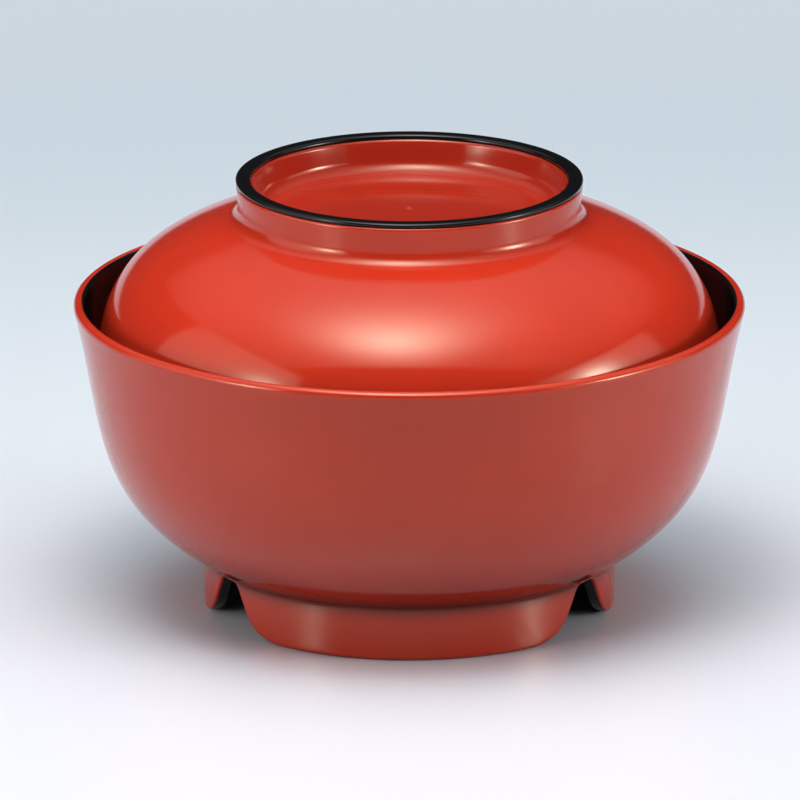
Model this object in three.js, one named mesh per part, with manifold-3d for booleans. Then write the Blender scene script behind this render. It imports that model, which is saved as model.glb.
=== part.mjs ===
// Lidded lacquer sweets bowl. A deep bowl stands on a foot ring with three bell-shaped notches, and a domed
// lid drops inside its rim and carries a ring to lift it by. Both are vermilion, with black lacquer inside,
// under the foot and on the edge of the lid's ring.
// Millimetres, +Z up. The origin is the centre of the circle that the foot stands on.

import * as THREE from 'three';
import { mergeVertices } from 'three/addons/utils/BufferGeometryUtils.js';
import Module from 'manifold-3d';

const DEGREE = Math.PI / 180;

// Bowl
const RIM_RADIUS = 74;
const BOWL_HEIGHT = 69.6;
const BOWL_WALL = 2.4;
const FLOOR_THICKNESS = 3;
const FLOOR_SWEEP = 9; // height in which the inside of the wall turns into the flat floor
const WALL_LEAN = 14 * DEGREE; // from upright, just under the lip
const WALL_FULLNESS = 0.5; // pull of that tangent, as a share of the wall's drop
const HIP_RISE = 30 * DEGREE; // from level, where the wall springs from the foot
const HIP_FULLNESS = 1.05; // pull of that tangent, as a share of the wall's overhang
const BLACK_OVER_LIP = 46 * DEGREE; // turn of the round lip that the black inside climbs over

// Foot ring
const FOOT_RADIUS = 45.5;
const FOOT_HEIGHT = 12;
const FOOT_WALL = 3;
const FOOT_EDGE_ROUND = 1.2;
const FOOT_FILLET = 0.8;
const FOOT_WELL_FILLET = 1.6;

// Notches in the foot ring
const NOTCH_COUNT = 3;
const NOTCH_TOP_WIDTH = 6.2;
const NOTCH_LEAN = 31 * DEGREE; // of its sides, from upright
const NOTCH_FLARE_RADIUS = 12;
const NOTCH_ROOF = 0.6; // left between a notch and the underside of the bowl

// Lid
const SEAT_DEPTH = 12.1; // from the top of the lip down to the edge of the lid
const SEAT_CLEARANCE = 0.3;
const LID_WALL = 2.4;
const DOME_RISE = 31; // from the edge of the lid up to the base of its ring
const DOME_SLOPE = 15 * DEGREE; // from level, at the ring
const DOME_FULLNESS = 0.8; // pull of that tangent, as a share of the dome's width
const SKIRT_LEAN = 5.5 * DEGREE; // from upright, at the edge of the lid
const SKIRT_FULLNESS = 0.48; // pull of that tangent, as a share of the dome's rise
const ROOF_SWEEP = 3; // height in which the underside of the dome turns flat

// Ring on the lid
const RING_RADIUS = 38.3;
const RING_HEIGHT = 8.8;
const RING_WALL = 3.3;
const RING_FLARE = 5 * DEGREE; // of its outside, from upright
const RING_FILLET = 2.7;
const RING_EDGE_ROUND = 1.1; // also the height of the black top
const RING_WELL_DEPTH = 8.3; // beside its wall
const RING_WELL_CROWN = 1.2; // rise of its floor to the middle
const RING_WELL_DRAFT = 10 * DEGREE;
const RING_WELL_FILLET = 3;

// Black lacquer
const LACQUER = 0.4;
const FOOT_BARE_EDGE = 0.4; // height above the table at which it stops on the foot ring

// Facets
const TURN_STEPS = 48;
const WALL_STEPS = 9;
const SWEEP_STEPS = 3;
const LIP_STEPS = 4;
const ROUND_STEPS = 2;
const FILLET_STEPS = 4;
const FLARE_STEPS = 5;

const VERMILION = { color: 0xb8432f, roughness: 0.28, metalness: 0 };
const BLACK = { color: 0x0b0a0b, roughness: 0.2, metalness: 0 };

const wasm = await Module();
wasm.setup();

const point = (radius, height) => new THREE.Vector2(radius, height);

/** The point at a distance from start, in a direction given by its angle from the radial axis. */
const step = (start, angle, distance) =>
  point(start.x + distance * Math.cos(angle), start.y + distance * Math.sin(angle));

/** A closed geometry with shared vertices and no faces of zero area. */
function weld(geometry) {
  geometry.deleteAttribute('normal');
  geometry.deleteAttribute('uv');
  const welded = mergeVertices(geometry);
  const faces = [];
  const index = welded.index.array;
  for (let i = 0; i < index.length; i += 3) {
    const [a, b, c] = index.slice(i, i + 3);
    if (a !== b && b !== c && c !== a) faces.push(a, b, c);
  }
  welded.setIndex(new THREE.BufferAttribute(new Uint32Array(faces), 1));
  return welded;
}

/** The body between two profiles that both run outwards from the axis and meet at their outer ends. */
function revolve(lower, upper) {
  const profile = [...lower, ...upper.toReversed()];
  return weld(new THREE.LatheGeometry(profile, TURN_STEPS).rotateX(Math.PI / 2));
}

/** The ring whose section is a closed outline. */
function revolveRing(outline) {
  return weld(new THREE.LatheGeometry([...outline, outline[0]], TURN_STEPS).rotateX(Math.PI / 2));
}

function toSolid(geometry) {
  const vertProperties = geometry.attributes.position.array;
  return new wasm.Manifold(new wasm.Mesh({ numProp: 3, vertProperties, triVerts: geometry.index.array }));
}

function toGeometry(solid) {
  const { vertProperties, triVerts } = solid.getMesh();
  const geometry = new THREE.BufferGeometry();
  geometry.setAttribute('position', new THREE.BufferAttribute(vertProperties, 3));
  geometry.setIndex(new THREE.BufferAttribute(triVerts, 1));
  return geometry;
}

function piece(name, geometry, finish) {
  geometry.computeVertexNormals();
  const mesh = new THREE.Mesh(geometry, new THREE.MeshStandardMaterial(finish));
  mesh.name = name;
  return mesh;
}

/** Points on an arc that turns counterclockwise by sweep from the angle of first about centre. */
function arcFrom(first, centre, sweep, steps) {
  const start = first.clone().sub(centre);
  const radius = start.length();
  const angle = start.angle();
  return new THREE.EllipseCurve(centre.x, centre.y, radius, radius, angle, angle + sweep).getPoints(steps);
}

/** A corner eased by a curve that leaves both of its sides at their own slope. */
function easedCorner(before, corner, after, steps = ROUND_STEPS) {
  return new THREE.QuadraticBezierCurve(before, corner, after).getPoints(steps);
}

/** The curve's point at parameter t, moved to the left of its direction. */
function besideCurve(curve, t, distance) {
  const tangent = curve.getTangent(t);
  return curve.getPoint(t).add(point(-tangent.y, tangent.x).multiplyScalar(distance));
}

/** The parameter at which a curve whose height changes one way, moved to its left, is at a height. */
function parameterAtHeight(curve, distance, height) {
  const rises = curve.v3.y > curve.v0.y;
  let [low, high] = [0, 1];
  for (let halving = 0; halving < 40; halving += 1) {
    const middle = (low + high) / 2;
    const isBelow = besideCurve(curve, middle, distance).y < height;
    if (isBelow === rises) low = middle;
    else high = middle;
  }
  return (low + high) / 2;
}

/** The hollow side of a wall: level from the axis, then a sweep into a parallel of the wall's curve. */
function hollowSide(curve, wall, levelHeight, sweepHeight) {
  const turn = parameterAtHeight(curve, wall, levelHeight + sweepHeight);
  const wallPoints = [];
  for (let i = 0; i <= WALL_STEPS; i += 1) {
    wallPoints.push(besideCurve(curve, turn + ((1 - turn) * i) / WALL_STEPS, wall));
  }
  const tangent = curve.getTangent(turn);
  const sweepEnd = wallPoints[0];
  const run = (levelHeight - sweepEnd.y) / tangent.y;
  const corner = point(sweepEnd.x + run * tangent.x, levelHeight);
  const levelEnd = point(corner.x - Math.abs(run), levelHeight);
  const sweep = new THREE.QuadraticBezierCurve(levelEnd, corner, sweepEnd).getPoints(SWEEP_STEPS);
  return [point(0, levelHeight), ...sweep, ...wallPoints.slice(1)];
}

/** A path's parallel, a distance to the right of its direction. */
function parallel(path, distance) {
  return path.map((here, i) => {
    const before = path[Math.max(i - 1, 0)];
    const after = path[Math.min(i + 1, path.length - 1)];
    const along = after.clone().sub(before).normalize();
    return point(here.x + along.y * distance, here.y - along.x * distance);
  });
}

// Outside of the bowl's wall, from the foot up to the lip, and the round lip above it.
const lipRound = BOWL_WALL / 2;
const lipCentre = point(RIM_RADIUS - lipRound, BOWL_HEIGHT - lipRound);
const lipOutside = step(lipCentre, -WALL_LEAN, lipRound);
const wallFoot = point(FOOT_RADIUS, FOOT_HEIGHT);
const bowlCurve = new THREE.CubicBezierCurve(
  wallFoot,
  step(wallFoot, HIP_RISE, HIP_FULLNESS * (lipOutside.x - FOOT_RADIUS)),
  step(lipOutside, -Math.PI / 2 - WALL_LEAN, WALL_FULLNESS * (lipOutside.y - FOOT_HEIGHT)),
  lipOutside,
);

// Inside of the bowl, from the axis out along its floor, up its wall and over the inner edge of the lip.
const blackEnd = step(lipCentre, Math.PI - WALL_LEAN - BLACK_OVER_LIP, lipRound);
const bowlInside = [
  ...hollowSide(bowlCurve, BOWL_WALL, FOOT_HEIGHT + FLOOR_THICKNESS, FLOOR_SWEEP),
  ...arcFrom(blackEnd, lipCentre, BLACK_OVER_LIP, ROUND_STEPS).toReversed().slice(1),
];
const bowlUnderLacquer = parallel(bowlInside, LACQUER);

// Round outer edge of the foot ring, from its underside up.
const footEdgeCentre = point(FOOT_RADIUS - FOOT_EDGE_ROUND, FOOT_EDGE_ROUND);
const footEdge = arcFrom(point(footEdgeCentre.x, 0), footEdgeCentre, Math.PI / 2, ROUND_STEPS);

// Inside of the foot ring, from the axis out along the underside of the bowl and down to the lacquer's end.
const footInside = FOOT_RADIUS - FOOT_WALL;
const footWell = [
  point(0, FOOT_HEIGHT),
  ...easedCorner(
    point(footInside - FOOT_WELL_FILLET, FOOT_HEIGHT),
    point(footInside, FOOT_HEIGHT),
    point(footInside, FOOT_HEIGHT - FOOT_WELL_FILLET),
  ),
  point(footInside, FOOT_BARE_EDGE),
];
const footUnderLacquer = parallel(footWell, -LACQUER);

/** Outside of the bowl, from the underside of the foot up over the lip to the start of the black inside. */
function bowlOutside() {
  const filletEnd = FOOT_FILLET / bowlCurve.getLength();
  const fillet = easedCorner(
    point(FOOT_RADIUS, FOOT_HEIGHT - FOOT_FILLET),
    wallFoot,
    bowlCurve.getPointAt(filletEnd),
  );
  const wall = [];
  for (let i = 1; i < WALL_STEPS; i += 1) {
    wall.push(bowlCurve.getPointAt(filletEnd + ((1 - filletEnd) * i) / WALL_STEPS));
  }
  const lip = arcFrom(lipOutside, lipCentre, Math.PI - BLACK_OVER_LIP, LIP_STEPS);
  return [point(footInside + LACQUER, 0), ...footEdge, ...fillet, ...wall, ...lip];
}

/** Notch cutters, a bell in outline, each one grown by a margin on every side. */
function notches(margin) {
  const top = FOOT_HEIGHT - NOTCH_ROOF;
  const halfTop = NOTCH_TOP_WIDTH / 2;
  const halfFoot = halfTop + top * Math.tan(NOTCH_LEAN);
  const flareEnd = halfFoot + NOTCH_FLARE_RADIUS * Math.tan((Math.PI / 2 - NOTCH_LEAN) / 2);
  const flare = NOTCH_FLARE_RADIUS - margin;
  const grownTop = top + margin;
  const grownHalfTop = halfTop + margin * Math.tan((Math.PI / 2 - NOTCH_LEAN) / 2);
  const bell = new THREE.Shape()
    .moveTo(-flareEnd, -FOOT_HEIGHT)
    .lineTo(flareEnd, -FOOT_HEIGHT)
    .lineTo(flareEnd, margin)
    .absarc(flareEnd, NOTCH_FLARE_RADIUS, flare, -Math.PI / 2, -Math.PI + NOTCH_LEAN, true)
    .lineTo(grownHalfTop, grownTop)
    .lineTo(-grownHalfTop, grownTop)
    .absarc(-flareEnd, NOTCH_FLARE_RADIUS, flare, -NOTCH_LEAN, -Math.PI / 2, true);
  const inner = Math.sqrt(footInside ** 2 - flareEnd ** 2) - FOOT_WALL;
  const depth = FOOT_RADIUS + FOOT_WALL - inner;
  const cutter = new THREE.ExtrudeGeometry(bell, { depth, bevelEnabled: false, curveSegments: FLARE_STEPS });
  cutter.translate(0, 0, inner).rotateX(Math.PI / 2);
  const turned = [];
  for (let i = 0; i < NOTCH_COUNT; i += 1) {
    turned.push(toSolid(weld(cutter.clone().rotateZ(((i + 0.5) * 2 * Math.PI) / NOTCH_COUNT))));
  }
  return turned.reduce((joined, solid) => joined.add(solid));
}

function bowlBody() {
  const turned = revolve([...footUnderLacquer, ...bowlOutside()], bowlUnderLacquer);
  return toGeometry(toSolid(turned).subtract(notches(LACQUER)));
}

/** Black under the bowl, inside the foot ring and, as a lining, on the faces of its notches. */
function footWellLacquer() {
  const coat = toSolid(revolve(footWell, footUnderLacquer));
  const ringSection = [point(FOOT_RADIUS, FOOT_HEIGHT), point(footInside, FOOT_HEIGHT), point(footInside, 0)];
  const footRing = toSolid(revolveRing([...footEdge, ...ringSection]));
  const lining = footRing.intersect(notches(LACQUER)).trimByPlane([0, 0, 1], FOOT_BARE_EDGE);
  return toGeometry(coat.add(lining).subtract(notches(0)));
}

function makeBowl() {
  const bowl = new THREE.Group();
  bowl.add(
    piece('bowl_body', bowlBody(), VERMILION),
    piece('bowl_inside_lacquer', revolve(bowlUnderLacquer, bowlInside), BLACK),
    piece('foot_well_lacquer', footWellLacquer(), BLACK),
  );
  return bowl;
}

// The lid is laid out with its edge at height zero. Its edge is as wide as the bowl lets it be there.
const seatHeight = BOWL_HEIGHT - SEAT_DEPTH;
const seat = besideCurve(bowlCurve, parameterAtHeight(bowlCurve, BOWL_WALL, seatHeight), BOWL_WALL);
const lidEdge = point(seat.x - SEAT_CLEARANCE, 0);
const ringBase = point(RING_RADIUS - RING_HEIGHT * Math.tan(RING_FLARE), DOME_RISE);
const ringTop = DOME_RISE + RING_HEIGHT;
const wellFloor = ringTop - RING_WELL_DEPTH;

// Outside of the dome, from the ring down to the edge.
const domeCurve = new THREE.CubicBezierCurve(
  ringBase,
  step(ringBase, -DOME_SLOPE, DOME_FULLNESS * (lidEdge.x - ringBase.x)),
  step(lidEdge, Math.PI / 2 + SKIRT_LEAN, SKIRT_FULLNESS * DOME_RISE),
  lidEdge,
);

const lidInside = hollowSide(domeCurve, -LID_WALL, wellFloor - LID_WALL, -ROOF_SWEEP);
const lidUnderLacquer = parallel(lidInside, -LACQUER);

/** Radius of the ring's outside at a height. */
const ringOutside = (height) => RING_RADIUS - (ringTop - height) * Math.tan(RING_FLARE);

/** Radius of the ring's inside at a height. */
const ringInside = (height) => RING_RADIUS - RING_WALL - (ringTop - height) * Math.tan(RING_WELL_DRAFT);

const bandFoot = ringTop - RING_EDGE_ROUND;

/** Outside of the lid, from the inner side of its round edge up to the black band of its ring. */
function lidOutside() {
  const edgeInside = lidInside.at(-1);
  const edgeCentre = edgeInside.clone().add(lidEdge).divideScalar(2);
  const edge = arcFrom(edgeInside, edgeCentre, Math.PI, LIP_STEPS);
  const filletEnd = RING_FILLET / domeCurve.getLength();
  const dome = [];
  for (let i = WALL_STEPS - 1; i > 0; i -= 1) {
    dome.push(domeCurve.getPointAt(filletEnd + ((1 - filletEnd) * i) / WALL_STEPS));
  }
  const filletTop = DOME_RISE + RING_FILLET;
  const fillet = easedCorner(
    domeCurve.getPointAt(filletEnd),
    ringBase,
    point(ringOutside(filletTop), filletTop),
    FILLET_STEPS,
  );
  return [...edge, ...dome, ...fillet, point(ringOutside(bandFoot), bandFoot)];
}

/** Inside of the ring, from the axis out along the crowned floor of its well and up to the black band. */
function ringWell() {
  const corner = point(ringInside(wellFloor), wellFloor);
  const crown = wellFloor + RING_WELL_CROWN;
  const floor = new THREE.QuadraticBezierCurve(point(0, crown), point(corner.x / 2, crown), corner);
  const floorEnd = 1 - RING_WELL_FILLET / corner.x;
  const level = [];
  for (let i = 0; i < SWEEP_STEPS; i += 1) level.push(floor.getPoint((floorEnd * i) / SWEEP_STEPS));
  const filletTop = wellFloor + RING_WELL_FILLET;
  const fillet = easedCorner(
    floor.getPoint(floorEnd),
    corner,
    point(ringInside(filletTop), filletTop),
    FILLET_STEPS,
  );
  return [...level, ...fillet, point(ringInside(bandFoot), bandFoot)];
}

/** Section of the black band: the top of the ring, down to where its rounded edges meet its sides. */
function ringBand() {
  const outer = easedCorner(
    point(ringOutside(bandFoot), bandFoot),
    point(ringOutside(ringTop), ringTop),
    point(ringOutside(ringTop) - RING_EDGE_ROUND, ringTop),
  );
  const inner = easedCorner(
    point(ringInside(ringTop) + RING_EDGE_ROUND, ringTop),
    point(ringInside(ringTop), ringTop),
    point(ringInside(bandFoot), bandFoot),
  );
  return [...outer, ...inner];
}

function makeLid() {
  const lid = new THREE.Group();
  lid.add(
    piece('lid_body', revolve([...lidUnderLacquer, ...lidOutside()], ringWell()), VERMILION),
    piece('lid_inside_lacquer', revolve(lidInside, lidUnderLacquer), BLACK),
    piece('lid_ring_edge_lacquer', revolveRing(ringBand()), BLACK),
  );
  lid.position.z = seatHeight;
  return lid;
}

const sweetsBowl = new THREE.Group();
sweetsBowl.add(makeBowl(), makeLid());

export default sweetsBowl;
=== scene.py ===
"""Looks of a lidded lacquer sweets bowl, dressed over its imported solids. Metres, +Z up, front towards -Y."""

import bpy
import numpy as np
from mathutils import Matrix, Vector


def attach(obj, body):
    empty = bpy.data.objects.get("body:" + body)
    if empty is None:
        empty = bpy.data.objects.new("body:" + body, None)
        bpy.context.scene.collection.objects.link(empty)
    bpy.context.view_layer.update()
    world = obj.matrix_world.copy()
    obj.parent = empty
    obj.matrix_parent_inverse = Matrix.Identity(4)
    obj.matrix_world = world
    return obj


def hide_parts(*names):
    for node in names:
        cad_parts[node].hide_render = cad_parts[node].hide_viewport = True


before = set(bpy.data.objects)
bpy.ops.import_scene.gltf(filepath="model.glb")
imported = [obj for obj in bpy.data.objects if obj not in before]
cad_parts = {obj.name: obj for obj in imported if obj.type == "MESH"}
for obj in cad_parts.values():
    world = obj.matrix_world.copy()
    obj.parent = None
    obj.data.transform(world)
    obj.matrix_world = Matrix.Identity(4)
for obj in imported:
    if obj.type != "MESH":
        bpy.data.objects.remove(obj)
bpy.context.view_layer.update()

# Bowl body
# A deep round bowl and its foot ring in one piece, moulded in resin and sprayed with vermilion lacquer.
# Three bell-shaped notches cut the foot ring into feet, and every edge is softened by the mould and the coat.
MM = 0.001  # in metres; the lengths of the pieces are in millimetres
RIM_RADIUS = 74.0
BOWL_HEIGHT = 69.6
BOWL_WALL = 2.4
BOWL_FLOOR = 15.0  # top of the floor inside, above the table
FLOOR_SWEEP = 9.0  # height in which the inside of the wall turns into the floor
WALL_LEAN = np.radians(14)
WALL_PULL = 0.5
HIP_RISE = np.radians(30)
HIP_PULL = 1.05
BLACK_OVER_LIP = np.radians(46)  # turn of the round lip that the black inside climbs over
FOOT_RADIUS = 45.5
FOOT_HEIGHT = 12.0
FOOT_WALL = 3.0
FOOT_EDGE_ROUND = 1.2
FOOT_CREASE_ROUND = 0.8
FOOT_WELL_ROUND = 1.6
NOTCH_TOP_HALF = 3.1
NOTCH_TOP = 11.4
NOTCH_LEAN = np.radians(31)
NOTCH_FLARE = 12.0
NOTCH_TOP_ROUND = 1.2
NOTCH_EDGE_ROUND = 0.7
FILM = 0.1  # thickness of a lacquer coat, drawn about twice as thick as it is
FILM_RAMP = 0.3  # height of a notch over which the film on its face grows to that
EDGE_BLEND = 1.5  # height of a notch over which its own edge takes over from the standing edge
SHADE_REACH_UP = 8.5  # how far painted shade darkens the wall from the crease over the foot, upwards
SHADE_REACH_DOWN = 1.9  # and down the foot
THIN_REACH = 0.9  # height over the lower edges in which it ran thin
VERMILION = "b02c18"
VERMILION_DEEP = "a92816"
# painted shade: the dark red that the crease over the foot and the corners of the lid are darkened towards
VERMILION_PAINTED_SHADE = "641611"
VERMILION_THIN = "982818"
VERMILION_GLOSS = "fff4d8"
LACQUER_ROUGHNESS = 0.11


def polar(centre, angle, distance):
    """The point at a distance from centre, in a direction given by its angle from the radial axis."""
    return np.array([centre[0] + distance * np.cos(angle), centre[1] + distance * np.sin(angle)])


def bezier(controls, t):
    """Cubic Bezier: the four control points, weighted by the third powers and products of t and 1 - t."""
    a, b, c, d = (np.asarray(p, float) for p in controls)
    t = np.asarray(t)[:, None]
    return (1 - t) ** 3 * a + 3 * t * (1 - t) ** 2 * b + 3 * t ** 2 * (1 - t) * c + t ** 3 * d


def eased(before, corner, after, count):
    """A softened corner: the quadratic Bezier that leaves both of its sides at their own slope."""
    a, b, c = (np.asarray(p, float) for p in (before, corner, after))
    t = np.linspace(0, 1, count)[:, None]
    return (1 - t) ** 2 * a + 2 * t * (1 - t) * b + t ** 2 * c


def straight(start, end, count):
    """Points at even steps on a line."""
    return np.linspace(np.asarray(start, float), np.asarray(end, float), count)


def arc_from(first, centre, sweep, count):
    """Points on the arc that turns counterclockwise by sweep, from first about centre."""
    spoke = first - centre
    across = np.array([-spoke[1], spoke[0]])
    turn = np.linspace(0, sweep, count)[:, None]
    return centre + np.cos(turn) * spoke + np.sin(turn) * across


def beside(path, distance):
    """The path's parallel, a distance to the left of its direction, taken from central differences."""
    along = np.gradient(path, axis=0)
    along /= np.linalg.norm(along, axis=1)[:, None]
    return path + distance * np.stack([-along[:, 1], along[:, 0]], axis=1)


def even(path, count):
    """The same path at even steps of its own length."""
    length = np.concatenate([[0], np.cumsum(np.linalg.norm(np.diff(path, axis=0), axis=1))])
    stops = np.linspace(0, length[-1], count)
    return np.stack([np.interp(stops, length, path[:, 0]), np.interp(stops, length, path[:, 1])], axis=1)


def joined(*paths):
    """One path from several, without the points that two of them share where they meet."""
    whole = np.concatenate(paths)
    apart = np.linalg.norm(np.diff(whole, axis=0), axis=1) > 1e-6
    return whole[np.concatenate([[True], apart])]


def hollow_side(curve, wall, level, sweep):
    """Hollow side of a wall: level from the axis, then an eased corner into the parallel of the wall's curve.
    The corner starts as far from its sharp point on the level as it ends from it on the wall."""
    inside = beside(curve, wall)
    inside = inside if abs(inside[0, 1] - level) < abs(inside[-1, 1] - level) else inside[::-1]
    beyond = np.sign(sweep) * (inside[:, 1] - level - sweep) > 0
    inside = inside[beyond]
    slope = inside[1] - inside[0]
    run = (level - inside[0, 1]) / slope[1] * slope
    corner = inside[0] + run
    level_end = corner - [np.linalg.norm(run), 0]
    return joined(
        straight([0, level], level_end, 16),
        eased(level_end, corner, inside[0], 16),
        even(inside, 48),
    )


def skin(name, *grids, shade_and_wear=None, wrap=False):
    """Closed mesh over grids of points, rows by columns, in millimetres. Columns go round to meet themselves.
    Rows do so too where wrap is set, and otherwise end in two poles, in each of which all the columns meet.
    Faces are turned outwards where the volume that they enclose, summed from the origin, comes out negative.
    Its last argument, one value a point of an only grid, goes towards 1 where shade is painted into creases
    and corners, and towards -1 where the lacquer ran thin."""
    points, faces, count = [], [], 0
    for grid in grids:
        rows, columns = grid.shape[:2]
        if wrap:
            own = grid.reshape(-1, 3)
            index = np.arange(rows * columns).reshape(rows, columns)
            index = np.concatenate([index, index[:1]])
            caps = np.zeros((0, 3), int)
        else:
            own = np.concatenate([grid[:1, 0], grid[1:-1].reshape(-1, 3), grid[-1:, 0]])
            index = 1 + np.arange((rows - 2) * columns).reshape(rows - 2, columns)
            first, last = index[0], index[-1]
            low = np.stack([np.zeros(columns, int), np.roll(first, -1), first], axis=1)
            high = np.stack([np.full(columns, len(own) - 1), last, np.roll(last, -1)], axis=1)
            caps = np.concatenate([low, high])
        right = np.roll(index, -1, axis=1)
        quads = np.stack([index[:-1], right[:-1], right[1:], index[1:]], axis=-1).reshape(-1, 4)
        halves = np.concatenate([quads[:, [0, 1, 2]], quads[:, [0, 2, 3]], caps])
        a, b, c = own[halves[:, 0]], own[halves[:, 1]], own[halves[:, 2]]
        if np.einsum("ij,ij->", a, np.cross(b, c)) < 0:
            quads, caps = quads[:, ::-1], caps[:, ::-1]
        points.append(own)
        faces += (quads + count).tolist() + (caps + count).tolist()
        count += len(own)
    mesh = bpy.data.meshes.new(name)
    mesh.from_pydata((np.concatenate(points) * MM).tolist(), [], faces)
    mesh.shade_smooth()
    if shade_and_wear is not None:
        # The attribute carries painted shade, towards 1, and wear where the lacquer ran thin, towards -1.
        ends = [shade_and_wear.ravel()] if wrap else [shade_and_wear[:1, 0], shade_and_wear[1:-1].ravel(), shade_and_wear[-1:, 0]]
        mesh.attributes.new("shade_and_wear", "FLOAT", "POINT").data.foreach_set("value", np.concatenate(ends))
    piece = bpy.data.objects.new(name, mesh)
    bpy.context.scene.collection.objects.link(piece)
    return piece


def around(path, columns=288):
    """The grid of a path of radius and height carried round the axis in even steps."""
    turn = np.linspace(0, 2 * np.pi, columns, endpoint=False)
    radius, height = path[:, :1], path[:, 1:]
    return np.stack([radius * np.cos(turn), radius * np.sin(turn), height + 0 * turn], axis=-1)


def notch_height(offset):
    """Height of a notch's bell above the table, at an offset along the foot ring from its middle.
    A flat top and two leaning sides meet in a soft minimum, and the sides flare to the table on a circle."""
    away = np.abs(offset)
    side_foot = NOTCH_TOP_HALF + NOTCH_TOP * np.tan(NOTCH_LEAN)
    flare_end = side_foot + NOTCH_FLARE * np.tan((np.pi / 2 - NOTCH_LEAN) / 2)
    flare_start = flare_end - NOTCH_FLARE * np.cos(NOTCH_LEAN)
    side = NOTCH_TOP - (away - NOTCH_TOP_HALF) / np.tan(NOTCH_LEAN)
    blend = np.clip(0.5 + 0.5 * (side - NOTCH_TOP) / NOTCH_TOP_ROUND, 0, 1)
    bell = side + (NOTCH_TOP - side) * blend - NOTCH_TOP_ROUND * blend * (1 - blend)
    reach = np.clip(flare_end - away, 0, NOTCH_FLARE)
    flare = NOTCH_FLARE - np.sqrt(NOTCH_FLARE ** 2 - reach ** 2)
    return np.where(away < flare_start, bell, flare)


# Columns of the foot run at even offsets across each notch and at even angles along each foot, as angles from
# the middle of the nearest notch, measured on the outside of the ring.
NOTCH_ZONE = np.radians(23)
SECTOR = np.radians(60)
half_sector = np.concatenate([
    np.arcsin(np.linspace(0, np.sin(NOTCH_ZONE), 44)),
    np.linspace(NOTCH_ZONE, SECTOR, 25)[1:],
])
sector = np.concatenate([-half_sector[:0:-1], half_sector[:-1]])
notch_middles = np.radians([-30, 90, 210])
from_notch = np.tile(sector, 3)
middles = np.repeat(notch_middles, len(sector))
offsets = FOOT_RADIUS * np.sin(from_notch)
hold = np.clip((SECTOR - np.abs(from_notch)) / (SECTOR - NOTCH_ZONE), 0, 1)


def round_foot(radius, height):
    """The grid of rows of radius and height, one value a column, carried round the foot ring.
    Across a notch the columns keep their offset through the thickness of the ring, so that the faces of the
    notch are parallel."""
    within = np.clip(radius, FOOT_RADIUS - FOOT_WALL, FOOT_RADIUS)
    parallel = np.arcsin(np.clip(offsets / within, -1, 1))
    angle = middles + from_notch + hold * (parallel - from_notch)
    return np.stack([radius * np.cos(angle), radius * np.sin(angle), height + 0 * angle], axis=-1)


lip_round = BOWL_WALL / 2
lip_centre = np.array([RIM_RADIUS - lip_round, BOWL_HEIGHT - lip_round])
lip_outside = polar(lip_centre, -WALL_LEAN, lip_round)
wall_foot = np.array([FOOT_RADIUS, FOOT_HEIGHT])
bowl_curve = even(
    bezier(
        [
            wall_foot,
            polar(wall_foot, HIP_RISE, HIP_PULL * (lip_outside[0] - FOOT_RADIUS)),
            polar(lip_outside, -np.pi / 2 - WALL_LEAN, WALL_PULL * (lip_outside[1] - FOOT_HEIGHT)),
            lip_outside,
        ],
        np.linspace(0, 1, 400),
    ),
    400,
)
lip = arc_from(lip_outside, lip_centre, np.pi - BLACK_OVER_LIP, 22)
wall_inside = hollow_side(bowl_curve, BOWL_WALL, BOWL_FLOOR, FLOOR_SWEEP)
bowl_inside = joined(wall_inside, arc_from(wall_inside[-1], lip_centre, -BLACK_OVER_LIP, 10))
bowl_under_black = beside(bowl_inside, -FILM)

# The foot's section hangs from the underside of the bowl, and is cut short from below by the notches.
foot_inside = FOOT_RADIUS - FOOT_WALL
bell = notch_height(offsets)
slope_step = 0.02
bell_slope = (notch_height(offsets + slope_step) - notch_height(offsets - slope_step)) / (2 * slope_step)
cut = bell + FILM * np.clip(bell / FILM_RAMP, 0, 1)
depth = FOOT_HEIGHT - cut
edge_across = FOOT_EDGE_ROUND + (NOTCH_EDGE_ROUND - FOOT_EDGE_ROUND) * np.clip(bell / EDGE_BLEND, 0, 1)
# Over the top of a notch little depth is left: its edge takes at most half of that, and the crease less.
edge_up = np.minimum(edge_across * np.sqrt(1 + bell_slope ** 2), 0.5 * depth)
crease = np.minimum(FOOT_CREASE_ROUND, 0.4 * depth)
foot_corner = eased(
    [foot_inside - FOOT_WELL_ROUND, FOOT_HEIGHT],
    [foot_inside, FOOT_HEIGHT],
    [foot_inside, FOOT_HEIGHT - FOOT_WELL_ROUND],
    9,
)
foot_well = joined(
    straight([0, FOOT_HEIGHT], foot_corner[0], 16),
    foot_corner,
    straight(foot_corner[-1], [foot_inside, 0], 9),
)
off_axis = foot_well[:, :1] > 0
on_top = foot_well[:, 1:] > 0.99 * FOOT_HEIGHT


def hung(path, depth):
    """Rows of a path whose drop below the underside of the bowl is scaled to the depth that a column has."""
    drop = (FOOT_HEIGHT - path[:, 1:]) / FOOT_HEIGHT
    return path[:, :1] + 0 * depth, FOOT_HEIGHT - drop * depth


def ramp(count):
    """Even steps from 0 to 1, as a column."""
    return np.linspace(0, 1, count)[:, None]


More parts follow.
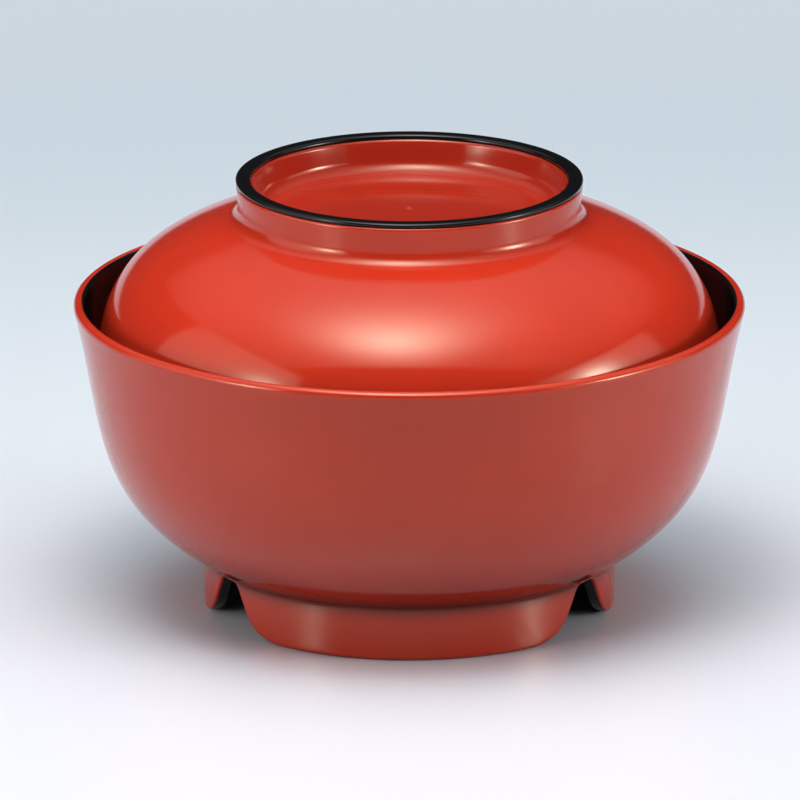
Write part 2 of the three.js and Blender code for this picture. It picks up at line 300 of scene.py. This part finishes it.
well_radius, well_height = hung(foot_well, depth)
well_radius = well_radius + FILM * off_axis
under_radius = foot_inside + FILM + ramp(6)[1:] * (FOOT_RADIUS - edge_across - foot_inside - FILM)
edge_turn = ramp(10)[1:] * np.pi / 2
edge_radius = FOOT_RADIUS - edge_across * (1 - np.sin(edge_turn))
edge_height = cut + edge_up * (1 - np.cos(edge_turn))
side_height = cut + edge_up + ramp(10)[1:] * (depth - edge_up - crease)
crease_step = ramp(7)[1:]
crease_points = 6  # points of the wall's curve that the crease takes up
crease_end = bowl_curve[crease_points]
crease_radius = FOOT_RADIUS + crease_step ** 2 * (crease_end[0] - FOOT_RADIUS)
crease_height = (
    (1 - crease_step) ** 2 * (FOOT_HEIGHT - crease)
    + 2 * crease_step * (1 - crease_step) * FOOT_HEIGHT
    + crease_step ** 2 * crease_end[1]
)
full = np.zeros_like(from_notch)  # carries a row that is the same all round over the columns
upper = joined(
    even(bowl_curve[crease_points:], 70)[1:],
    lip[1:],
    bowl_under_black[:0:-2],
    bowl_under_black[:1],
)
body_radius = np.concatenate([
    well_radius,
    under_radius + full,
    edge_radius,
    FOOT_RADIUS + 0 * side_height,
    crease_radius + full,
    upper[:, :1] + full,
])
body_height = np.concatenate([
    well_height + FILM * on_top,
    cut + 0 * under_radius,
    edge_height,
    side_height,
    crease_height,
    upper[:, 1:] + full,
])
# Painted shade darkens the body about the crease over the foot, far up the wall and a little down the foot.
# The lowest edges are worn where the lacquer ran thin.
from_crease = np.hypot(body_radius - FOOT_RADIUS, body_height - FOOT_HEIGHT)
shade_reach = np.where(body_height > FOOT_HEIGHT, SHADE_REACH_UP, SHADE_REACH_DOWN)
ran_thin = np.clip(1 - (body_height - cut) / THIN_REACH, 0, 1)
body_shade_and_wear = np.exp(-((from_crease / shade_reach) ** 2)) - ran_thin
bowl_body = skin("bowl_body_lacquered", round_foot(body_radius, body_height), shade_and_wear=body_shade_and_wear)


def srgb(code):
    """Linear red, green, blue and alpha of an sRGB hex value."""
    channels = np.array([int(code[i:i + 2], 16) for i in (0, 2, 4)]) / 255
    linear = np.where(channels <= 0.04045, channels / 12.92, ((channels + 0.055) / 1.055) ** 2.4)
    return (*linear.tolist(), 1.0)


def add(tree, kind, inputs, **settings):
    """A node of that kind. Settings are its own properties. Inputs go to its sockets, as values or links."""
    node = tree.nodes.new("ShaderNode" + kind)
    for name, value in settings.items():
        setattr(node, name, value)
    for socket, value in inputs.items():
        if isinstance(value, bpy.types.NodeSocket):
            tree.links.new(value, node.inputs[socket])
        else:
            node.inputs[socket].default_value = value
    return node


def lacquer(name, colour, deep, painted_shade, thin, sheen, roughness):
    """Sprayed lacquer: a colour that clouds a little, a gloss that varies in patches, the faint ripple of a
    coat that settled, and a dust nib here and there. Shade is painted into it towards a darker colour, in
    creases and corners where an attribute says so. Where it ran thin, it is duller, and its ground shows
    through in flecks. The sizes are those of the patterns, whose scale is one over them."""
    cloud, patch, fleck, peel, nib_spacing, nib = (size * MM for size in (38, 11, 1.5, 2.6, 17, 0.35))
    ripple_height, nib_height = 0.0015 * MM, 0.05 * MM
    cloud_low, cloud_high = 0.35, 0.65
    gloss_below, gloss_above, thin_dulls = 0.02, 0.03, 0.15
    thin_gain, thin_start = -1.6, -1.0
    material = bpy.data.materials.new(name)
    material.use_nodes = True
    tree = material.node_tree
    tree.nodes.clear()
    place = add(tree, "TexCoord", {}).outputs["Object"]
    shade_and_wear = add(tree, "Attribute", {}, attribute_name="shade_and_wear").outputs["Fac"]
    clouds = add(tree, "TexNoise", {"Vector": place, "Scale": 1 / cloud, "Detail": 3.0})
    tone = add(
        tree,
        "MapRange",
        {"Value": clouds.outputs["Fac"], "From Min": cloud_low, "From Max": cloud_high},
    )
    tint = add(tree, "Mix", {0: tone.outputs["Result"], 6: srgb(colour), 7: srgb(deep)}, data_type="RGBA")
    # Painted shade: the colour darkens towards a shade colour as the attribute rises above 0.
    shaded = add(tree, "Mix", {0: shade_and_wear, 6: tint.outputs[2], 7: srgb(painted_shade)}, data_type="RGBA")
    flecks = add(tree, "TexNoise", {"Vector": place, "Scale": 1 / fleck, "Detail": 4.0})
    bare = add(tree, "Math", {0: shade_and_wear, 1: thin_gain, 2: thin_start}, operation="MULTIPLY_ADD")
    broken = add(
        tree,
        "Math",
        {0: flecks.outputs["Fac"], 1: bare.outputs[0]},
        operation="ADD",
        use_clamp=True,
    )
    worn = add(tree, "Mix", {0: broken.outputs[0], 6: shaded.outputs[2], 7: srgb(thin)}, data_type="RGBA")
    patches = add(tree, "TexNoise", {"Vector": place, "Scale": 1 / patch, "Detail": 2.0})
    gloss = add(
        tree,
        "MapRange",
        {
            "Value": patches.outputs["Fac"],
            "To Min": roughness - gloss_below,
            "To Max": roughness + gloss_above,
        },
    )
    dulled = add(
        tree,
        "Math",
        {0: broken.outputs[0], 1: thin_dulls, 2: gloss.outputs["Result"]},
        operation="MULTIPLY_ADD",
    )
    ripple = add(tree, "TexNoise", {"Vector": place, "Scale": 1 / peel, "Detail": 1.0})
    settled = add(
        tree, "Bump", {"Height": ripple.outputs["Fac"], "Distance": ripple_height, "Strength": 0.7}
    )
    dust = add(tree, "TexVoronoi", {"Vector": place, "Scale": 1 / nib_spacing})
    grain = add(
        tree,
        "MapRange",
        {"Value": dust.outputs["Distance"], "From Max": nib / nib_spacing, "To Min": 1.0, "To Max": 0.0},
        interpolation_type="SMOOTHSTEP",
    )
    nibs = add(
        tree,
        "Bump",
        {"Height": grain.outputs["Result"], "Distance": nib_height, "Normal": settled.outputs["Normal"]},
    )
    shader = add(
        tree,
        "BsdfPrincipled",
        {
            "Base Color": worn.outputs[2],
            "Roughness": dulled.outputs[0],
            "Normal": nibs.outputs["Normal"],
            "IOR": 1.5,
            "Specular Tint": srgb(sheen),
        },
    )
    add(tree, "OutputMaterial", {"Surface": shader.outputs["BSDF"]})
    return material


# Vermilion urethane lacquer on moulded resin: an opaque warm red that mirrors the lamps, softly and with a
# faint ripple, with shade painted into its creases and corners.
vermilion = lacquer(
    "vermilion_urethane_lacquer",
    VERMILION,
    VERMILION_DEEP,
    VERMILION_PAINTED_SHADE,
    VERMILION_THIN,
    VERMILION_GLOSS,
    roughness=LACQUER_ROUGHNESS,
)
bowl_body.data.materials.append(vermilion)
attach(bowl_body, "bowl")
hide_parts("bowl_body")

# Black inside of the bowl
# A coat of black lacquer, sprayed into the bowl and over the inner edge of its lip, where it was masked off.
BLACK = "0b0a0b"
BLACK_DEEP = "080708"
BLACK_THIN = "1c1110"
BLACK_GLOSS = "c8c8c8"
inside_coat = joined(bowl_inside, beside(bowl_inside, -FILM)[::-1])
bowl_lining = skin("bowl_inside_black", around(inside_coat))
# Black urethane lacquer: a deep black that shows only what it mirrors.
black = lacquer(
    "black_urethane_lacquer",
    BLACK,
    BLACK_DEEP,
    BLACK_DEEP,
    BLACK_THIN,
    BLACK_GLOSS,
    roughness=LACQUER_ROUGHNESS,
)
bowl_lining.data.materials.append(black)
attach(bowl_lining, "bowl")
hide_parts("bowl_inside_lacquer")

# Black under the bowl
# The same black, as a film over the hollow of the foot ring and over the faces of its notches.
# It stops a little above the table, so that the standing edge stays clean.
BARE_EDGE = 0.4
coat_depth = FOOT_HEIGHT - np.maximum(bell, BARE_EDGE)
coat_radius, coat_height = hung(foot_well, coat_depth)
coat_radius = np.concatenate([coat_radius, (coat_radius + FILM * off_axis)[::-1]])
coat_height = np.concatenate([coat_height, (coat_height + FILM * on_top)[::-1]])


def notch_lining(middle):
    """Film on the faces of one notch: a flat loop across the thickness of the ring, carried along the bell.
    A point at an offset from the notch's middle plane lies as far along that plane as its radius leaves."""
    coated = np.flatnonzero(bell[:len(sector)] > BARE_EDGE)
    along = offsets[coated, None]
    height = notch_height(along)
    outer = FOOT_RADIUS - edge_across[coated, None]
    out = foot_inside + np.linspace(0, 1, 9) * (outer - foot_inside)
    radius = np.concatenate([out, out[:, ::-1]], axis=1)
    height = np.concatenate([height + 0 * out, height + FILM + 0 * out], axis=1)
    ahead = np.sqrt(radius ** 2 - along ** 2)
    loops = np.stack([
        ahead * np.cos(middle) - along * np.sin(middle),
        ahead * np.sin(middle) + along * np.cos(middle),
        height,
    ], axis=-1)
    ends = loops[[0, -1]].mean(axis=1, keepdims=True) + 0 * loops[[0, -1]]
    return np.concatenate([ends[:1], loops, ends[1:]])


foot_lining = skin(
    "foot_well_black",
    round_foot(coat_radius, coat_height),
    *(notch_lining(middle) for middle in notch_middles),
)
foot_lining.data.materials.append(black)
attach(foot_lining, "bowl")
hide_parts("foot_well_lacquer")

# Lid body
# A domed lid that drops inside the lip and rests against the wall. The ring that it is lifted by is moulded
# in one with it, and lacquered in the same vermilion down to the floor of the ring's well.
SEAT_DEPTH = 12.1
SEAT_CLEARANCE = 0.3
LID_WALL = 2.4
DOME_RISE = 31.0
DOME_SLOPE = np.radians(15)
DOME_PULL = 0.8
SKIRT_LEAN = np.radians(5.5)
SKIRT_PULL = 0.48
ROOF_SWEEP = 3.0
RING_RADIUS = 38.3
RING_HEIGHT = 8.8
RING_WALL = 3.3
RING_FLARE = np.radians(5)
RING_FOOT_ROUND = 2.7  # from the sharp corner to where the rounding ends, as WELL_ROUND
WELL_DEPTH = 8.3  # beside its wall
WELL_CROWN = 1.2  # rise of its floor to the middle
WELL_DRAFT = np.radians(10)
WELL_ROUND = 3.0
BAND_HEIGHT = 1.1
GATE_MARK_RADIUS = 1.1
GATE_MARK_RISE = 0.3
CORNER_SHADE = 0.3  # how much painted shade darkens the corners at the foot of the ring and in its well
CORNER_SHADE_REACH = 1.6
WELL_SHADE = 0.2  # how much painted shade darkens the floor of the well
WELL_SHADE_RISE = 0.25  # and how much more it darkens up the wall of the well, within the height on the next line
WELL_SHADE_HEIGHT = 4.0

seat_height = BOWL_HEIGHT - SEAT_DEPTH
upper_wall = wall_inside[40:]  # here each point is higher than the last
wall_at_seat = np.interp(seat_height, upper_wall[:, 1], upper_wall[:, 0])
lid_edge = np.array([wall_at_seat - SEAT_CLEARANCE, seat_height])
ring_base = np.array([RING_RADIUS - RING_HEIGHT * np.tan(RING_FLARE), seat_height + DOME_RISE])
ring_top = ring_base[1] + RING_HEIGHT
well_floor = ring_top - WELL_DEPTH
band_foot = ring_top - BAND_HEIGHT
dome_curve = even(
    bezier(
        [
            ring_base,
            polar(ring_base, -DOME_SLOPE, DOME_PULL * (lid_edge[0] - ring_base[0])),
            polar(lid_edge, np.pi / 2 + SKIRT_LEAN, SKIRT_PULL * DOME_RISE),
            lid_edge,
        ],
        np.linspace(0, 1, 400),
    ),
    400,
)
lid_inside = hollow_side(dome_curve, -LID_WALL, well_floor - LID_WALL, -ROOF_SWEEP)


def ring_outside(height):
    """Point on the outside of the ring, which flares a little towards its top."""
    return np.array([RING_RADIUS - (ring_top - height) * np.tan(RING_FLARE), height])


def ring_inside(height):
    """Point on the inside of the ring, which has the draft of a mould."""
    return np.array([RING_RADIUS - RING_WALL - (ring_top - height) * np.tan(WELL_DRAFT), height])


def rounded(before, corner, after, setback, count):
    """A corner rounded by the circle that touches both of its sides at a setback from it."""
    back, ahead = ((point - corner) / np.linalg.norm(point - corner) for point in (before, after))
    inward = (back + ahead) / np.linalg.norm(back + ahead)
    centre = corner + setback / (back @ inward) * inward
    (ax, ay), (bx, by) = corner + setback * back - centre, corner + setback * ahead - centre
    return arc_from(corner + setback * back, centre, np.arctan2(ax * by - ay * bx, ax * bx + ay * by), count)


ring_foot_step = np.searchsorted(np.linalg.norm(dome_curve - ring_base, axis=1), RING_FOOT_ROUND)
ring_foot = rounded(dome_curve[ring_foot_step], ring_base, ring_outside(ring_top), RING_FOOT_ROUND, 20)
well_corner = ring_inside(well_floor)
well_span = np.linspace(well_corner[0] - WELL_ROUND, 0, 36)
well_crown = np.stack([well_span, well_floor + WELL_CROWN * (1 - (well_span / well_corner[0]) ** 2)], axis=1)
well_turn = rounded(ring_inside(ring_top), well_corner, well_crown[0], WELL_ROUND, 20)
gate_span = np.linspace(GATE_MARK_RADIUS, 0, 9)
gate_swell = (1 - (gate_span / GATE_MARK_RADIUS) ** 2) ** 2
gate_mark = np.stack([gate_span, well_floor + WELL_CROWN + GATE_MARK_RISE * gate_swell], axis=1)
lid_section = joined(
    beside(lid_inside, FILM),
    arc_from(lid_inside[-1], (lid_inside[-1] + lid_edge) / 2, np.pi, 18),
    even(dome_curve[ring_foot_step:][::-1], 72),
    ring_foot,
    straight(ring_foot[-1], ring_outside(band_foot), 8),
    straight(ring_outside(band_foot), ring_inside(band_foot), 4),
    straight(ring_inside(band_foot), well_turn[0], 7),
    well_turn,
    well_crown[1:][well_crown[1:, 0] > GATE_MARK_RADIUS],
    gate_mark,
)
# Painted shade: the well of the ring is darkened, more up its wall, and so are the corners at the foot of the
# ring and in the well.
over_roof = lid_section[:, 1] > well_floor - LID_WALL / 2
in_well = over_roof & (lid_section[:, 0] < ring_inside(ring_top)[0])
up_wall = np.clip((lid_section[:, 1] - well_floor) / WELL_SHADE_HEIGHT, 0, 1)
lid_painted_shade = in_well * (WELL_SHADE + WELL_SHADE_RISE * up_wall)
for corner in (ring_base, well_corner):
    from_corner = np.linalg.norm(lid_section - corner, axis=1)
    lid_painted_shade += CORNER_SHADE * np.exp(-((from_corner / CORNER_SHADE_REACH) ** 2))
lid_grid = around(lid_section)
lid_body = skin("lid_body_lacquered", lid_grid, shade_and_wear=lid_painted_shade[:, None] + np.zeros(lid_grid.shape[:2]))
lid_body.data.materials.append(vermilion)
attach(lid_body, "lid")
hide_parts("lid_body")

# Black inside of the lid
# The coat of black lacquer under the dome, sprayed up to the edge of the lid.
lid_film = joined(lid_inside, beside(lid_inside, FILM)[::-1])
lid_lining = skin("lid_inside_black", around(lid_film))
lid_lining.data.materials.append(black)
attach(lid_lining, "lid")
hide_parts("lid_inside_lacquer")

# Black edge of the lid's ring
# The top of the ring, dipped or brushed in black over the vermilion, with both of its corners rounded.
band_round = 0.5 * BAND_HEIGHT
band_outer = rounded(ring_outside(band_foot), ring_outside(ring_top), ring_inside(ring_top), band_round, 14)
band_inner = rounded(ring_outside(ring_top), ring_inside(ring_top), ring_inside(band_foot), band_round, 14)
band_section = joined(
    straight(ring_inside(band_foot), ring_outside(band_foot), 6),
    band_outer,
    straight(band_outer[-1], band_inner[0], 6),
    band_inner,
)
ring_band = skin("lid_ring_edge_black", around(band_section), wrap=True)
ring_band.data.materials.append(black)
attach(ring_band, "lid")
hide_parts("lid_ring_edge_lacquer")

# Stage
# A pale table in a dark studio, with a light blue haze that grows towards the back and leaves the bowl clear,
# and one plain pale tone further off. Light that it sends back to the bowl is that of a greyer top.
# A big diffuser hangs over it, and one stands on each side, all three brightest where their lamp is.
TABLE_WHITE = "d0cfd6"
TABLE_GREY = "d6d4d5"
TABLE_BOUNCE = "9ea1a6"
TABLE_HAZE = "9edffa"
TABLE_FAR = "ccd7e0"
TABLE_ROUGHNESS = 0.3
TABLE_HALF = 16.0  # metres from the bowl to the edge of the table
WHITE_ENDS, GREY_STARTS = -0.25, 0.5  # metres behind the bowl
HAZE_FRONT, HAZE_BACK = 0.06, 0.28  # its glow at these two
HAZE_STARTS, HAZE_FULL = 0.046, 0.076  # metres from the middle of the bowl, as are the next
FAR_STARTS, FAR_FULL = 0.20, 0.52
STUDIO_AIR = "d4e0ee"
STUDIO_GLOW = 0.03
floor_mesh = bpy.data.meshes.new("pale_table")
floor_mesh.from_pydata(
    [(TABLE_HALF * x, TABLE_HALF * y, 0) for x, y in ((-1, -1), (1, -1), (1, 1), (-1, 1))], [], [(0, 1, 2, 3)]
)
floor = bpy.data.objects.new("pale_table", floor_mesh)
bpy.context.scene.collection.objects.link(floor)
table = bpy.data.materials.new("pale_table_top")
table.use_nodes = True
tree = table.node_tree
tree.nodes.clear()
place = add(tree, "TexCoord", {}).outputs["Object"]
depth_in = add(tree, "SeparateXYZ", {0: place}).outputs["Y"]
behind = add(
    tree,
    "MapRange",
    {"Value": depth_in, "From Min": WHITE_ENDS, "From Max": GREY_STARTS},
    interpolation_type="SMOOTHSTEP",
)
near = add(
    tree, "Mix", {0: behind.outputs["Result"], 6: srgb(TABLE_WHITE), 7: srgb(TABLE_GREY)}, data_type="RGBA"
)
top = add(tree, "BsdfPrincipled", {"Base Color": near.outputs[2], "Roughness": TABLE_ROUGHNESS})
lift = add(
    tree, "MapRange", {"Value": behind.outputs["Result"], "To Min": HAZE_FRONT, "To Max": HAZE_BACK}
)
from_bowl = add(tree, "VectorMath", {0: place}, operation="LENGTH")
clear = add(
    tree,
    "MapRange",
    {
        "Value": from_bowl.outputs["Value"],
        "From Min": HAZE_STARTS,
        "From Max": HAZE_FULL,
        "To Max": lift.outputs["Result"],
    },
    interpolation_type="SMOOTHSTEP",
)
haze = add(tree, "Emission", {"Color": srgb(TABLE_HAZE), "Strength": clear.outputs["Result"]})
hazy = add(tree, "AddShader", {0: top.outputs["BSDF"], 1: haze.outputs[0]})
beyond = add(
    tree,
    "MapRange",
    {"Value": from_bowl.outputs["Value"], "From Min": FAR_STARTS, "From Max": FAR_FULL},
    interpolation_type="SMOOTHSTEP",
)
far = add(tree, "Emission", {"Color": srgb(TABLE_FAR)})
seen = add(tree, "MixShader", {0: beyond.outputs["Result"], 1: hazy.outputs[0], 2: far.outputs[0]})
bounce = add(tree, "BsdfDiffuse", {"Color": srgb(TABLE_BOUNCE)})
ray = add(tree, "LightPath", {})
direct = add(
    tree, "Math", {0: ray.outputs["Is Camera Ray"], 1: ray.outputs["Is Glossy Ray"]}, operation="MAXIMUM"
)
looked = add(tree, "Math", {0: direct.outputs[0], 1: ray.outputs["Is Transmission Ray"]}, operation="MAXIMUM")
face = add(tree, "MixShader", {0: looked.outputs[0], 1: bounce.outputs[0], 2: seen.outputs[0]})
add(tree, "OutputMaterial", {"Surface": face.outputs[0]})
floor_mesh.materials.append(table)

world = bpy.data.worlds.new("studio")
world.use_nodes = True
air = world.node_tree.nodes["Background"]
air.inputs["Color"].default_value = srgb(STUDIO_AIR)
air.inputs["Strength"].default_value = STUDIO_GLOW
bpy.context.scene.world = world


def diffuser(name, corners, glow, reach, lamp, spread, lamp_glow):
    """A sheet that glows about its lamp: glow falls off over reach, and the lamp's own glow over its spread.
    Each falls as e to the power of minus the distance from the lamp, in units of reach or of spread, which is
    raised to wide_fall for the one and to spot_fall for the other."""
    wide_fall, spot_fall = 2.5, 1.5
    mesh = bpy.data.meshes.new(name)
    mesh.from_pydata(corners, [], [(0, 1, 2, 3)])
    sheet = bpy.data.objects.new(name, mesh)
    sheet.visible_camera = False
    bpy.context.scene.collection.objects.link(sheet)
    material = bpy.data.materials.new(name + "_lit")
    material.use_nodes = True
    tree = material.node_tree
    tree.nodes.clear()
    place = add(tree, "TexCoord", {}).outputs["Object"]
    away = add(tree, "VectorMath", {0: place, 1: lamp}, operation="SUBTRACT")
    scaled = add(tree, "VectorMath", {0: away.outputs[0], 1: spread}, operation="DIVIDE")
    length = add(tree, "VectorMath", {0: scaled.outputs[0]}, operation="LENGTH")
    raised = add(tree, "Math", {0: length.outputs["Value"], 1: spot_fall}, operation="POWER")
    fallen = add(tree, "Math", {0: raised.outputs[0], 1: -1.0}, operation="MULTIPLY")
    spot = add(tree, "Math", {0: fallen.outputs[0]}, operation="EXPONENT")
    apart = add(tree, "VectorMath", {0: place, 1: lamp}, operation="DISTANCE")
    steps = add(tree, "Math", {0: apart.outputs["Value"], 1: reach}, operation="DIVIDE")
    rising = add(tree, "Math", {0: steps.outputs[0], 1: wide_fall}, operation="POWER")
    falling = add(tree, "Math", {0: rising.outputs[0], 1: -1.0}, operation="MULTIPLY")
    wide = add(tree, "Math", {0: falling.outputs[0]}, operation="EXPONENT")
    even_glow = add(tree, "Math", {0: wide.outputs[0], 1: glow}, operation="MULTIPLY")
    strength = add(
        tree,
        "Math",
        {0: spot.outputs[0], 1: lamp_glow, 2: even_glow.outputs[0]},
        operation="MULTIPLY_ADD",
    )
    lit = add(tree, "Emission", {"Strength": strength.outputs[0]})
    add(tree, "OutputMaterial", {"Surface": lit.outputs[0]})
    mesh.materials.append(material)


diffuser(
    "overhead_diffuser",
    [(-0.80, -0.61, 0.68), (-0.80, 1.05, 0.68), (1.1, 1.05, 0.68), (1.1, -0.61, 0.68)],
    glow=0.74,
    reach=1.1,
    lamp=(-0.045, -0.216, 0.68),
    spread=(0.168, 0.22, 1.0),
    lamp_glow=13.4,
)
diffuser(
    "left_diffuser",
    [(-0.76, 0.20, 0.0), (-0.76, 0.20, 0.67), (-0.76, -0.86, 0.67), (-0.76, -0.86, 0.0)],
    glow=1.8,
    reach=0.85,
    lamp=(-0.76, -0.57, 0.26),
    spread=(1.0, 0.12, 0.11),
    lamp_glow=20.0,
)
diffuser(
    "right_diffuser",
    [(0.80, -0.70, 0.0), (0.80, -0.70, 0.46), (0.80, 0.26, 0.46), (0.80, 0.26, 0.0)],
    glow=1.45,
    reach=0.6,
    lamp=(0.80, -0.25, 0.24),
    spread=(1.0, 0.10, 0.09),
    lamp_glow=32.0,
)

VIEW_RISE = np.radians(16.6)
VIEW_TURN = np.radians(1.0)
VIEW_DISTANCE = 3.0
VIEW_REACH = 20.0  # how far it sees, in metres
VIEW_LENS = 611.1  # millimetres, as is the sensor
VIEW_SENSOR = 36.0
FOCUS = Vector((-2.05 * MM, 0, 46.15 * MM))
toward = Vector((
    np.sin(VIEW_TURN) * np.cos(VIEW_RISE), -np.cos(VIEW_TURN) * np.cos(VIEW_RISE), np.sin(VIEW_RISE)
))
camera = bpy.data.objects.new("camera", bpy.data.cameras.new("camera"))
camera.data.sensor_width = VIEW_SENSOR
camera.data.lens = VIEW_LENS
camera.data.clip_end = VIEW_REACH
camera.location = FOCUS + VIEW_DISTANCE * toward
camera.rotation_euler = (-toward).to_track_quat("-Z", "Y").to_euler()
bpy.context.scene.collection.objects.link(camera)
bpy.context.scene.camera = camera
bpy.context.scene.view_settings.view_transform = "Standard"
